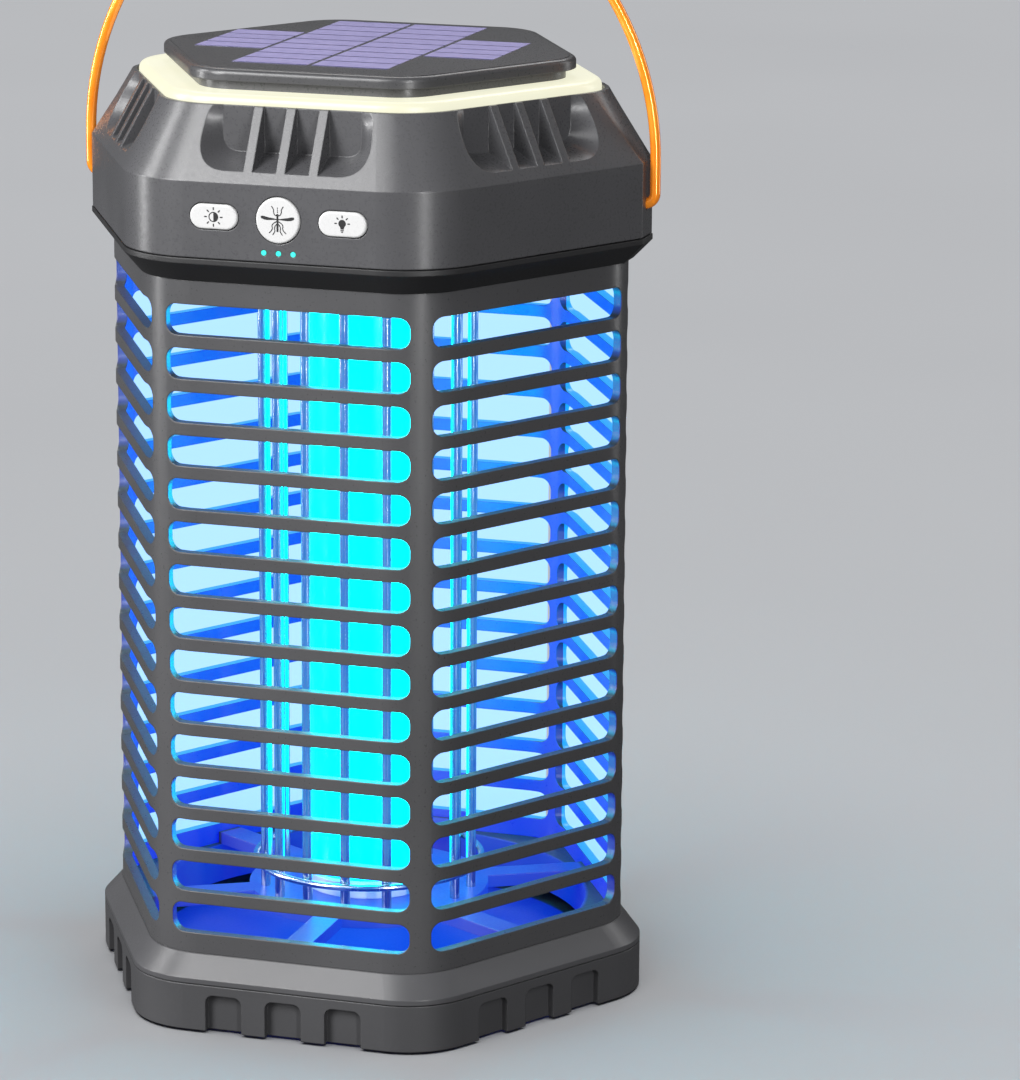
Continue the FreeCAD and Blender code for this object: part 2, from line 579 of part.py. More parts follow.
# ---------------------------------------------------------------- deck, circuit board, battery
b = body("grid_top_plate")
hexagon(b, "deck", "cage_apo - cage_wall - 0.4", "deck_low", "deck_top - deck_low", "cage_round - cage_wall - 0.4")
for k, (x, y) in enumerate(((30, 26), (-30, 26), (30, -26), (-30, -26))):
    disc(b, "standoff_%d" % k, "3", "deck_top", "5.6", x=str(x), y=str(y))
for k in (1, 2, 4, 5):
    c, s = math.cos(math.radians(60 * k)), math.sin(math.radians(60 * k))
    disc(b, "screw_hole_%d" % k, "screw_rad + 0.2", "deck_low - 1", "4", cut=True, x="boss_circle * %r" % c, y="boss_circle * %r" % s)
screws = []
for k in (1, 2, 4, 5):
    c, s = math.cos(math.radians(60 * k)), math.sin(math.radians(60 * k))
    f = doc.addObject("Part::MultiFuse", "screw_%d" % k)
    f.Shapes = [cylinder("screw_head_%d" % k, "2.75", "1.8", S["boss_circle"] * c, S["boss_circle"] * s, S["deck_low"] - 1.8),
                cylinder("screw_shank_%d" % k, "screw_rad", "10", S["boss_circle"] * c, S["boss_circle"] * s, S["deck_low"])]
    screws.append(f)
group("head_screws", screws)
node("main_board", lift(cylinder("main_board", "45", "1.6", 0, 0, 0), Vector(0, 0, 170.5)))
lone_block("hv_transformer", "16", "12", "11", -26, 22.5, 172.1)
group("hv_capacitors", [cylinder("cap_%d" % i, "4", "9", 6 + 10 * i, 28, 172.1) for i in range(3)])
b = body("battery_holder")
slab(b, "holder_floor", "71", "41", "2", "0", "0", "173.1")
slab(b, "holder_end_a", "2", "41", "14", "34.5", "0", "174.1")
slab(b, "holder_end_b", "2", "41", "14", "-34.5", "0", "174.1")
for k, (x, y) in enumerate(((28, 16), (-28, 16), (28, -16), (-28, -16))):
    disc(b, "holder_foot_%d" % k, "2", "172.1", "1.5", x=str(x), y=str(y))
group("battery_cells", [cylinder("cell_%d" % i, "9.2", "65", -32.5, y, 184.6, Vector(1, 0, 0)) for i, y in enumerate((-9.6, 9.6))])

# ---------------------------------------------------------------- killing grid and ultraviolet lamp
b = body("grid_base_plate")
disc(b, "spider_hub", "27", "grid_floor_low", "grid_floor_top - grid_floor_low")
for k in range(3):
    p = b.newObject("PartDesign::AdditiveBox", "spider_arm_%d" % k)
    p.AttachmentSupport = [(plane(b, "XY_Plane"), "")]
    p.MapMode = "FlatFace"
    r = Rotation(Vector(0, 0, 1), 30 + 60 * k)
    v = r.multVec(Vector(-50.2, -3, 0))
    p.AttachmentOffset = Placement(Vector(v.x, v.y, S["grid_floor_low"]), r)
    p.Length, p.Width = 100.4, 6
    bind(p, Height="grid_floor_top - grid_floor_low")
    doc.recompute()
rods = {0: [], 1: []}
for k in range(int(S["rod_count"])):
    a = 2 * math.pi * k / S["rod_count"] + math.radians(S["rod_start"])
    rods[k % 2].append(cylinder("rod_%d" % k, "rod_rad", "deck_low - grid_floor_top", S["rod_circle"] * math.cos(a), S["rod_circle"] * math.sin(a), S["grid_floor_top"]))
group("grid_rods_live", rods[0])
group("grid_rods_ground", rods[1])


def hoop(name, z):
    t = doc.addObject("Part::Torus", name)
    bind(t, Radius1="rod_circle + rod_rad + 0.85", Radius2="0.75")
    t.Placement = Placement(Vector(0, 0, z), Rotation())
    return t


group("grid_hoops", [hoop("hoop_low", 25.0), hoop("hoop_high", 157.0)])
b = body("uv_tube")
disc(b, "tube_outer", "tube_rad", "grid_floor_top + cap_high", "deck_low - grid_floor_top - 2 * cap_high")
disc(b, "tube_inner", "tube_rad - tube_wall", "grid_floor_top", "deck_low - grid_floor_top", cut=True)
node("uv_tube_cap_lower", lift(cylinder("uv_tube_cap_lower", "cap_rad", "cap_high", 0, 0, 0), Vector(0, 0, S["grid_floor_top"])))
node("uv_tube_cap_upper", lift(cylinder("uv_tube_cap_upper", "cap_rad", "cap_high", 0, 0, 0), Vector(0, 0, S["deck_low"] - S["cap_high"])))
lone_block("uv_board", "12", "1.6", "deck_low - grid_floor_top - 2 * cap_high - 1", -6, -0.8, S["grid_floor_top"] + S["cap_high"] + 0.5)
leds = []
for i in range(10):
    for sgn in (-1, 1):
        leds.append(block("uvled_%d_%d" % (i, sgn + 1), "5", "1.2", "5", 0, sgn * 1.4, 30 + 13 * i))
group("uv_leds", leds)

# ---------------------------------------------------------------- charging port and its silicone cover
b = body("usb_socket")
slab(b, "socket_body", "9.0", "7.0", "3.2", "0", "51.6", "port_z - 1.6")
slab(b, "socket_mouth", "7.8", "5.6", "2.2", "0", "52.6", "port_z - 1.1", cut=True)
slab(b, "socket_tongue", "6.4", "4.0", "0.7", "0", "50.9", "port_z - 0.35")
b = body("usb_cover")
hinge_y, hinge_z = "band_apo - port_deep + 0.1 + flap_thick / 2", "port_z - port_high / 2 + 0.25 + flap_thick / 2"
slab(b, "flap", "port_wide - 0.5", "flap_thick", "port_high - 0.5 - flap_thick / 2", "0", hinge_y, hinge_z)
roller(b, "hinge_roll", "flap_thick / 2", "port_wide - 0.5", hinge_y, hinge_z)
roller(b, "hinge_pins", "pin_rad", "port_wide + 1.2", hinge_y, hinge_z)
slab(b, "pull_tab", "4", "0.4", "1.6", "0", "band_apo - port_deep + 0.3 + flap_thick", "port_z + port_high / 2 - 2.6")

# ---------------------------------------------------------------- bail
spine = doc.addObject("Sketcher::SketchObject", "bail_line")
spine.Placement = Placement(Vector(0, 0, S["pivot_z"]), Rotation(Vector(1, 0, 0), 90))
bx, br, rise, lr, lt, lf = S["bail_x"], S["bend_rad"], S["bail_rise"], S["loop_rad"], S["loop_top"], S["loop_fillet"]
fx = lr + lf
fz = rise + math.sqrt((bx + lf) ** 2 - fx ** 2)
tx, tz = bx / (bx + lf) * fx, rise + bx / (bx + lf) * (fz - rise)
loop_c = lt - lr


def arc3(a, m, e):
    return Part.Arc(Vector(a[0], a[1], 0), Vector(m[0], m[1], 0), Vector(e[0], e[1], 0))


def seg(a, e):
    return Part.LineSegment(Vector(a[0], a[1], 0), Vector(e[0], e[1], 0))


m45 = math.sqrt(0.5)
half_angle = math.atan2(tz - rise, tx) / 2
mid_big = (bx * math.cos(half_angle), rise + bx * math.sin(half_angle))
ang0 = math.atan2(tz - fz, tx - fx)
ang1 = -math.pi
mid_a = (ang0 + ang1) / 2
mid_fil = (fx + lf * math.cos(mid_a), fz + lf * math.sin(mid_a))
right = [seg((S["wire_end"], 0), (bx - br, 0)),
         arc3((bx - br, 0), (bx - br + br * m45, br - br * m45), (bx, br)),
         seg((bx, br), (bx, rise)),
         arc3((bx, rise), mid_big, (tx, tz)),
         arc3((tx, tz), mid_fil, (lr, fz)),
         seg((lr, fz), (lr, loop_c)),
         arc3((lr, loop_c), (0, lt), (-lr, loop_c))]
left = [seg((-lr, loop_c), (-lr, fz)),
        arc3((-lr, fz), (-mid_fil[0], mid_fil[1]), (-tx, tz)),
        arc3((-tx, tz), (-mid_big[0], mid_big[1]), (-bx, rise)),
        seg((-bx, rise), (-bx, br)),
        arc3((-bx, br), (-(bx - br + br * m45), br - br * m45), (-(bx - br), 0)),
        seg((-(bx - br), 0), (-S["wire_end"], 0))]
for gmt in right + left:
    spine.addGeometry(gmt, False)
section = doc.addObject("Part::Circle", "bail_section")
bind(section, Radius="wire_rad")
section.Placement = Placement(Vector(S["wire_end"], 0, S["pivot_z"]), Rotation(Vector(0, 0, 1), Vector(1, 0, 0)))
doc.recompute()
sweep = doc.addObject("Part::Sweep", "bail")
sweep.Sections = [section]
sweep.Spine = (spine, ["Edge%d" % i for i in range(1, len(spine.Shape.Edges) + 1)])
sweep.Solid = True
sweep.Frenet = False
lift(sweep)
node("bail", sweep)
sleeves = []
for sgn in (-1, 1):
    c = doc.addObject("Part::Cut", "sleeve_%d" % (sgn + 1))
    c.Base = cylinder("sleeve_out_%d" % (sgn + 1), "3", "5", sgn * 56, 0, S["pivot_z"], Vector(sgn, 0, 0))
    c.Tool = cylinder("sleeve_in_%d" % (sgn + 1), "wire_rad + 0.2", "7", sgn * 55, 0, S["pivot_z"], Vector(sgn, 0, 0))
    sleeves.append(c)
group("bail_bushes", sleeves)

# ---------------------------------------------------------------- check and write
doc.recompute()
bad = [o.Name for o in doc.Objects if "Invalid" in o.State or "Error" in o.State]
if bad:
    raise SystemExit("not computed: " + ", ".join(bad))
for name, obj in OUT.items():
    if obj.Shape.isNull() or not obj.Shape.isValid() or not obj.Shape.Solids:
        raise SystemExit("bad shape: " + name)
for name, obj in OUT.items():
    sh = obj.Shape
    bb = sh.BoundBox
    print("%-22s solids %2d  volume %9.1f  x %7.2f..%7.2f  y %7.2f..%7.2f  z %7.2f..%7.2f" % (
        name, len(sh.Solids), sum(s.Volume for s in sh.Solids), bb.XMin, bb.XMax, bb.YMin, bb.YMax, bb.ZMin, bb.ZMax))
    sh.exportStep("parts/" + name + ".step")
print(len(OUT), "nodes written")
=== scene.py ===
import bpy, bmesh, json, math
from mathutils import Matrix, Vector

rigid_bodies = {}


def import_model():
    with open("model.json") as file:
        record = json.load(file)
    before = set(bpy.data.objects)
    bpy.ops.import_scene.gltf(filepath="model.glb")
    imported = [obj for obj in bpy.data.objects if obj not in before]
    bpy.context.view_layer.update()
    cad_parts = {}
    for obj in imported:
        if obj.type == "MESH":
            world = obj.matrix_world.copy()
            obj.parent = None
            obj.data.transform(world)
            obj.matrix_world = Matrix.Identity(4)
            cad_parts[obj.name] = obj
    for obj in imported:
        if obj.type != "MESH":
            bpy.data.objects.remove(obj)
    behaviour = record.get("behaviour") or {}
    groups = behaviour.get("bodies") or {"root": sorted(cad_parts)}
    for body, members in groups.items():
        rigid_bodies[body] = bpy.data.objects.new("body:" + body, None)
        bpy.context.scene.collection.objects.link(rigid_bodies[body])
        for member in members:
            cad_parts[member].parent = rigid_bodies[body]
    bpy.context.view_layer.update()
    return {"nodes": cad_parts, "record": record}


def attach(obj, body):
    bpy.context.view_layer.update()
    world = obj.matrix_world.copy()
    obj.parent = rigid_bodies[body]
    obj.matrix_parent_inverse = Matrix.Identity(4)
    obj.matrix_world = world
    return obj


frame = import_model()


MM = 0.001
scene = bpy.context.scene
scene.view_settings.view_transform = "Standard"
scene.view_settings.look = "None"
scene.view_settings.exposure = 0.0
scene.view_settings.gamma = 1.0

LIFT = 0.6          # the feet lift the body this much


# ------------------------------------------------------------------ camera
def camera():
    az, el, roll = math.radians(17.399), math.radians(13.834), math.radians(0.359)
    back = Vector((math.sin(az) * math.cos(el), -math.cos(az) * math.cos(el), math.sin(el)))
    right = Vector((math.cos(az), math.sin(az), 0))
    up = back.cross(right)
    target = Vector((31.455 * math.cos(az), 31.455 * math.sin(az), 98.263 + LIFT)) * MM
    place = target + back * (1046.4 * MM)
    r2 = right * math.cos(roll) + up * math.sin(roll)
    u2 = -right * math.sin(roll) + up * math.cos(roll)
    data = bpy.data.cameras.new("camera")
    data.lens = 4701.1 / 1080 * 36.0
    data.sensor_width = 36.0
    data.sensor_fit = "AUTO"
    data.clip_start, data.clip_end = 0.01, 50
    cam = bpy.data.objects.new("camera", data)
    m = Matrix((r2, u2, back)).transposed().to_4x4()
    m.translation = place
    cam.matrix_world = m
    scene.collection.objects.link(cam)
    scene.camera = cam
    return cam


camera()


# ------------------------------------------------------------------ node helpers
def new_mat(name):
    m = bpy.data.materials.new(name)
    m.use_nodes = True
    nt = m.node_tree
    nt.nodes.clear()
    out = nt.nodes.new("ShaderNodeOutputMaterial")
    b = nt.nodes.new("ShaderNodeBsdfPrincipled")
    nt.links.new(b.outputs[0], out.inputs[0])
    return m, nt, b


def node(nt, kind, **props):
    n = nt.nodes.new(kind)
    for k, v in props.items():
        setattr(n, k, v)
    return n


def coords(nt):
    return node(nt, "ShaderNodeTexCoord").outputs["Object"]


def noise(nt, scale, detail=3.0, rough=0.5, vec=None):
    n = node(nt, "ShaderNodeTexNoise")
    n.inputs["Scale"].default_value = scale
    n.inputs["Detail"].default_value = detail
    n.inputs["Roughness"].default_value = rough
    nt.links.new(vec or coords(nt), n.inputs["Vector"])
    return n


def ramp(nt, fac, stops, interp="LINEAR"):
    r = node(nt, "ShaderNodeValToRGB")
    r.color_ramp.interpolation = interp
    while len(r.color_ramp.elements) < len(stops):
        r.color_ramp.elements.new(0.5)
    for e, (p, c) in zip(r.color_ramp.elements, stops):
        e.position = p
        e.color = (*c, 1.0) if len(c) == 3 else c
    nt.links.new(fac, r.inputs[0])
    return r


def map_range(nt, val, a, b, c, d, clamp=True):
    n = node(nt, "ShaderNodeMapRange")
    n.clamp = clamp
    nt.links.new(val, n.inputs[0])
    for i, v in zip((1, 2, 3, 4), (a, b, c, d)):
        n.inputs[i].default_value = v
    return n.outputs[0]


def math_node(nt, op, a, b=None):
    n = node(nt, "ShaderNodeMath", operation=op)
    for i, v in enumerate((a, b)):
        if v is None:
            continue
        if isinstance(v, (int, float)):
            n.inputs[i].default_value = v
        else:
            nt.links.new(v, n.inputs[i])
    return n.outputs[0]


def bump(nt, bsdf, height, strength, dist, bevel=None):
    n = node(nt, "ShaderNodeBump")
    n.inputs["Strength"].default_value = strength
    n.inputs["Distance"].default_value = dist
    nt.links.new(height, n.inputs["Height"])
    if bevel:
        bv = node(nt, "ShaderNodeBevel", samples=6)
        bv.inputs["Radius"].default_value = bevel
        nt.links.new(bv.outputs[0], n.inputs["Normal"])
    nt.links.new(n.outputs[0], bsdf.inputs["Normal"])
    return n


def moulded(name, col, rough=0.36, grain=1700.0, strength=0.18, bevel=0.00035, spec=0.5, coat=0.0, vary=0.12):
    """Fine-grained moulded plastic: slow tone variation, a satin grain and softened edges."""
    m, nt, b = new_mat(name)
    fine = noise(nt, grain, 4, 0.6)
    slow = noise(nt, 26.0, 3, 0.5)
    c = ramp(nt, slow.outputs["Fac"], [(0.3, [v * (1 - vary) for v in col]), (0.7, [min(1, v * (1 + vary)) for v in col])])
    nt.links.new(c.outputs[0], b.inputs["Base Color"])
    nt.links.new(map_range(nt, fine.outputs["Fac"], 0.3, 0.7, rough - 0.05, rough + 0.07), b.inputs["Roughness"])
    b.inputs["Specular IOR Level"].default_value = spec
    if coat:
        b.inputs["Coat Weight"].default_value = coat
        b.inputs["Coat Roughness"].default_value = 0.2
    bump(nt, b, fine.outputs["Fac"], strength, 0.00004, bevel)
    return m, nt, b


def glow(b, colour, strength):
    b.inputs["Emission Color"].default_value = (*colour, 1)
    b.inputs["Emission Strength"].default_value = strength


def dress(name, mat):
    o = frame["nodes"][name]
    o.data.materials.clear()
    o.data.materials.append(mat)
    return o


# ------------------------------------------------------------------ materials
BODY = (0.064, 0.064, 0.068)
body_m, _, _ = moulded("body_plastic", BODY, rough=0.29)
tray_m, _, _ = moulded("tray_plastic", (0.058, 0.058, 0.061), rough=0.38, strength=0.28)
panel_m, _, _ = moulded("panel_plastic", (0.050, 0.050, 0.053), rough=0.30)

# the cage: the same plastic, with a painted blue glow on the faces turned towards the axis, standing in for the
# lamp's light falling on them
cage_painted_glow_m, nt, b = moulded("cage_plastic_painted_glow", (0.058, 0.058, 0.061), rough=0.31)
geo = node(nt, "ShaderNodeNewGeometry")
flat = node(nt, "ShaderNodeVectorMath", operation="MULTIPLY")
flat.inputs[1].default_value = (1, 1, 0)
nt.links.new(coords(nt), flat.inputs[0])
unit = node(nt, "ShaderNodeVectorMath", operation="NORMALIZE")
nt.links.new(flat.outputs[0], unit.inputs[0])
dot = node(nt, "ShaderNodeVectorMath", operation="DOT_PRODUCT")
nt.links.new(unit.outputs[0], dot.inputs[0])
nt.links.new(geo.outputs["True Normal"], dot.inputs[1])
axis_facing_painted_glow = map_range(nt, dot.outputs["Value"], -0.25, -0.75, 0.0, 1.0)
sep = node(nt, "ShaderNodeSeparateXYZ")
nt.links.new(coords(nt), sep.inputs[0])
high = map_range(nt, sep.outputs["Z"], 0.017, 0.165, 0.0, 1.0)
blue = ramp(nt, high, [(0.0, (0.0, 0.006, 0.85)), (0.45, (0.0, 0.03, 1.0)), (1.0, (0.0, 0.06, 0.9))])
nt.links.new(blue.outputs[0], b.inputs["Emission Color"])
nt.links.new(math_node(nt, "MULTIPLY", axis_facing_painted_glow, 0.8), b.inputs["Emission Strength"])

# the floor inside: a painted blue glow within about 49 mm of the axis, lighter blue at the centre and deeper towards
# the rim, standing in for the lamp's light falling on it
def paint_blue_glow(m_nt_b):
    _, nt, b = m_nt_b
    geo = node(nt, "ShaderNodeNewGeometry")
    sep = node(nt, "ShaderNodeSeparateXYZ")
    nt.links.new(coords(nt), sep.inputs[0])
    flat = node(nt, "ShaderNodeVectorMath", operation="MULTIPLY")
    flat.inputs[1].default_value = (1, 1, 0)
    nt.links.new(coords(nt), flat.inputs[0])
    ln = node(nt, "ShaderNodeVectorMath", operation="LENGTH")
    nt.links.new(flat.outputs[0], ln.inputs[0])
    painted_glow_inside = map_range(nt, ln.outputs["Value"], 0.0498, 0.0490, 0.0, 1.0)
    tone = ramp(nt, map_range(nt, ln.outputs["Value"], 0.0, 0.05, 0.0, 1.0), [(0.0, (0.0, 0.10, 1.0)), (1.0, (0.0, 0.012, 0.62))])
    nt.links.new(tone.outputs[0], b.inputs["Emission Color"])
    nt.links.new(math_node(nt, "MULTIPLY", painted_glow_inside, 0.75), b.inputs["Emission Strength"])


# the tray, flange and floor plate each get this painted blue glow
tray_painted_glow_m, nt, b = moulded("tray_plastic_painted_glow", (0.05, 0.05, 0.053), rough=0.38, strength=0.28)
paint_blue_glow((tray_painted_glow_m, nt, b))
flange_painted_glow_m, nt, b = moulded("flange_plastic_painted_glow", (0.064, 0.064, 0.068), rough=0.34)
paint_blue_glow((flange_painted_glow_m, nt, b))
floorplate_painted_glow_m, nt, b = moulded("floor_plate_plastic_painted_glow", (0.05, 0.05, 0.053), rough=0.36)
paint_blue_glow((floorplate_painted_glow_m, nt, b))

rubber_m, _, _ = moulded("rubber", (0.018, 0.018, 0.019), rough=0.62, grain=900, strength=0.3)
white_m, _, _ = moulded("white_plastic", (0.78, 0.80, 0.82), rough=0.3, strength=0.08, vary=0.02)
button_m, _, _ = moulded("button_white", (0.50, 0.50, 0.50), rough=0.28, strength=0.05, bevel=0.0003, vary=0.015)
ink_m, _, _ = moulded("button_ink", (0.006, 0.006, 0.007), rough=0.45, grain=2500, strength=0.05, bevel=0.00002, vary=0.05)
black_m, _, _ = moulded("black_moulding", (0.02, 0.02, 0.02), rough=0.4)
holder_m, _, _ = moulded("holder_plastic", (0.03, 0.03, 0.032), rough=0.45)
board_m, _, _ = moulded("circuit_board", (0.012, 0.12, 0.05), rough=0.3, grain=300, strength=0.1, vary=0.25)
wrap_m, _, _ = moulded("battery_wrap", (0.02, 0.16, 0.42), rough=0.25, grain=400, strength=0.05, vary=0.05)
capac_m, _, _ = moulded("capacitor", (0.03, 0.08, 0.35), rough=0.3, grain=500, strength=0.1)


def metal(name, col, rough, grain=(2500.0, 2500.0, 40.0), strength=0.1):
    m, nt, b = new_mat(name)
    mp = node(nt, "ShaderNodeMapping")
    mp.inputs["Scale"].default_value = grain
    nt.links.new(coords(nt), mp.inputs[0])
    n = noise(nt, 1.0, 3, 0.6, mp.outputs[0])
    c = ramp(nt, n.outputs["Fac"], [(0.3, [v * 0.85 for v in col]), (0.7, col)])
    nt.links.new(c.outputs[0], b.inputs["Base Color"])
    nt.links.new(map_range(nt, n.outputs["Fac"], 0.3, 0.7, rough * 0.8, rough * 1.3), b.inputs["Roughness"])
    b.inputs["Metallic"].default_value = 1.0
    bump(nt, b, n.outputs["Fac"], strength, 0.00002, 0.0001)
    return m


steel_m = metal("grid_steel", (0.62, 0.64, 0.67), 0.22)
screw_m = metal("screw_steel", (0.55, 0.55, 0.57), 0.3)
brass_m = metal("bush_brass", (0.75, 0.52, 0.22), 0.3)

# bail: thick glossy orange coat over bright wire, with a faint painted orange glow
bail_painted_glow_m, nt, b = new_mat("bail_wire")
n = noise(nt, 160.0, 3, 0.5)
c = ramp(nt, n.outputs["Fac"], [(0.3, (1.0, 0.27, 0.012)), (0.7, (1.0, 0.36, 0.03))])
nt.links.new(c.outputs[0], b.inputs["Base Color"])
b.inputs["Metallic"].default_value = 0.35
# painted glow: the wire is no lamp
glow(b, (1.0, 0.22, 0.010), 0.16)
nt.links.new(map_range(nt, n.outputs["Fac"], 0.3, 0.7, 0.16, 0.24), b.inputs["Roughness"])
b.inputs["Coat Weight"].default_value = 0.9
b.inputs["Coat Roughness"].default_value = 0.06
bump(nt, b, n.outputs["Fac"], 0.06, 0.00004)

# ring light: lit milky diffuser
lens_m, nt, b = new_mat("lamp_diffuser")
n = noise(nt, 60.0, 2, 0.5)
c = ramp(nt, n.outputs["Fac"], [(0.3, (1.0, 0.985, 0.76)), (0.7, (1.0, 0.995, 0.80))])
dim = ramp(nt, n.outputs["Fac"], [(0.3, (0.09, 0.085, 0.05)), (0.7, (0.11, 0.105, 0.06))])
nt.links.new(dim.outputs[0], b.inputs["Base Color"])
nt.links.new(c.outputs[0], b.inputs["Emission Color"])
b.inputs["Emission Strength"].default_value = 0.80
b.inputs["Roughness"].default_value = 0.35

# indicator light pipes
teal_m, nt, b = new_mat("indicator_teal")
n = noise(nt, 1500.0, 2, 0.5)
c = ramp(nt, n.outputs["Fac"], [(0.3, (0.02, 0.55, 0.45)), (0.7, (0.06, 0.62, 0.52))])
nt.links.new(c.outputs[0], b.inputs["Base Color"])
nt.links.new(c.outputs[0], b.inputs["Emission Color"])
b.inputs["Emission Strength"].default_value = 0.5
b.inputs["Roughness"].default_value = 0.15

# lit chips
chip_m, nt, b = new_mat("led_chip")
n = noise(nt, 700.0, 2, 0.5)
c = ramp(nt, n.outputs["Fac"], [(0.3, (0.95, 0.75, 0.25)), (0.7, (1.0, 0.88, 0.4))])
nt.links.new(c.outputs[0], b.inputs["Base Color"])
nt.links.new(c.outputs[0], b.inputs["Emission Color"])
b.inputs["Emission Strength"].default_value = 1.5
uvchip_m, nt, b = new_mat("uv_chip")
n = noise(nt, 700.0, 2, 0.5)
c = ramp(nt, n.outputs["Fac"], [(0.3, (0.2, 0.5, 1.0)), (0.7, (0.3, 0.7, 1.0))])
nt.links.new(c.outputs[0], b.inputs["Base Color"])
nt.links.new(c.outputs[0], b.inputs["Emission Color"])
b.inputs["Emission Strength"].default_value = 4.0

# ultraviolet tube: glowing cyan, deeper blue towards the floor
uv_m, nt, b = new_mat("uv_tube")
sep = node(nt, "ShaderNodeSeparateXYZ")
nt.links.new(coords(nt), sep.inputs[0])
high = map_range(nt, sep.outputs["Z"], 0.022, 0.16, 0.0, 1.0)
n = noise(nt, 30.0, 2, 0.5)
tone = ramp(nt, high, [(0.0, (0.0, 0.25, 1.0)), (0.12, (0.0, 0.8, 1.0)), (0.8, (0.0, 0.95, 1.0)), (1.0, (0.0, 0.6, 1.0))])
nt.links.new(tone.outputs[0], b.inputs["Base Color"])
nt.links.new(tone.outputs[0], b.inputs["Emission Color"])
nt.links.new(map_range(nt, n.outputs["Fac"], 0.3, 0.7, 7.0, 9.0), b.inputs["Emission Strength"])
b.inputs["Roughness"].default_value = 0.2

# solar panel: silicon strips under clear resin
cell_m, nt, b = new_mat("solar_cell")
sep = node(nt, "ShaderNodeSeparateXYZ")
nt.links.new(coords(nt), sep.inputs[0])
grain = noise(nt, 420.0, 4, 0.65)
tone = ramp(nt, grain.outputs["Fac"], [(0.25, (0.33, 0.30, 0.60)), (0.75, (0.47, 0.43, 0.78))])
absx = math_node(nt, "ABSOLUTE", math_node(nt, "ADD", sep.outputs["X"], 0.0023))
mid = math_node(nt, "LESS_THAN", absx, 0.0179)
pitch = math_node(nt, "ADD", math_node(nt, "MULTIPLY", mid, 0.0690 / 9 - 0.0272 / 4), 0.0272 / 4)
start = math_node(nt, "ADD", math_node(nt, "MULTIPLY", mid, 0.0345 - 0.0032 - (0.0136 - 0.0034)), 0.0136 - 0.0034)
along = math_node(nt, "DIVIDE", math_node(nt, "ADD", sep.outputs["Y"], start), pitch)
frac = math_node(nt, "FRACT", along)
edge = math_node(nt, "ABSOLUTE", math_node(nt, "SUBTRACT", frac, 0.5))
line = math_node(nt, "GREATER_THAN", edge, 0.445)
fing = math_node(nt, "FRACT", math_node(nt, "MULTIPLY", sep.outputs["X"], 1 / 0.00138))
finger = math_node(nt, "GREATER_THAN", fing, 0.90)
mix = node(nt, "ShaderNodeMix", data_type="RGBA")
nt.links.new(math_node(nt, "MULTIPLY", finger, 0.25), mix.inputs[0])
nt.links.new(tone.outputs[0], mix.inputs[6])
mix.inputs[7].default_value = (0.5, 0.5, 0.62, 1)
mix2 = node(nt, "ShaderNodeMix", data_type="RGBA")
nt.links.new(line, mix2.inputs[0])
nt.links.new(mix.outputs[2], mix2.inputs[6])
mix2.inputs[7].default_value = (0.05, 0.045, 0.16, 1)
nt.links.new(mix2.outputs[2], b.inputs["Base Color"])
b.inputs["Roughness"].default_value = 0.32
b.inputs["Coat Weight"].default_value = 0.5
b.inputs["Coat Roughness"].default_value = 0.12
bump(nt, b, grain.outputs["Fac"], 0.1, 0.00002)

lam_m, nt, b = moulded("laminate", (0.052, 0.052, 0.056), rough=0.30, grain=2600, strength=0.02, coat=0.2, vary=0.06)

SLOTS = {
    "body_plastic": body_m, "tray_plastic": tray_m, "panel_plastic": panel_m, "rubber_black": rubber_m, "white_plastic": white_m,
    "circuit_board": board_m, "led_chip": chip_m, "lamp_diffuser": lens_m, "laminate": lam_m, "solar_cell": cell_m, "button_white": button_m,
    "indicator_teal": teal_m, "switch_black": black_m, "screw_steel": screw_m, "capacitor_can": capac_m, "holder_plastic": holder_m,
    "battery_wrap": wrap_m, "grid_plate_plastic": cage_painted_glow_m, "grid_steel": steel_m, "uv_diffuser": uv_m, "uv_chip": uvchip_m,
    "socket_steel": screw_m, "bail_wire": bail_painted_glow_m, "bush_brass": brass_m,
}
for part in frame["record"]["subparts"]:
    dress(part["node"], SLOTS[part["material_slot"]])
dress("cage", cage_painted_glow_m)
dress("grid_top_plate", cage_painted_glow_m)
dress("tray", tray_painted_glow_m)
# painted shade: the lower head ring is near-black, standing in for the shadow under the lip
lip_painted_shade_m, _, _ = moulded("lip_plastic_painted_shade", (0.014, 0.014, 0.015), rough=0.45)
dress("head_lower_ring", lip_painted_shade_m)
dress("base_flange", flange_painted_glow_m)
dress("grid_base_plate", floorplate_painted_glow_m)


# ------------------------------------------------------------------ printed symbols on the buttons
def mesh_object(name, bm, mat, body):
    me = bpy.data.meshes.new(name)
    bm.to_mesh(me)
    bm.free()
    me.materials.append(mat)
    o = bpy.data.objects.new(name, me)
    scene.collection.objects.link(o)
    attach(o, body)
    return o


def plate(bm, pts, cx, cz, y, thick):
    """One thin flat shape: points in the face's plane, x to the right, z up, front at -Y."""
    if sum(pts[i][0] * pts[(i + 1) % len(pts)][1] - pts[(i + 1) % len(pts)][0] * pts[i][1] for i in range(len(pts))) < 0:
        pts = pts[::-1]
    front = [bm.verts.new(((cx + p[0]) * MM, (y - thick) * MM, (cz + p[1]) * MM)) for p in pts]
    rear = [bm.verts.new(((cx + p[0]) * MM, (y + 0.01) * MM, (cz + p[1]) * MM)) for p in pts]
    bm.faces.new(front)
    bm.faces.new(rear[::-1])
    n = len(pts)
    for i in range(n):
        bm.faces.new((front[i], rear[i], rear[(i + 1) % n], front[(i + 1) % n]))


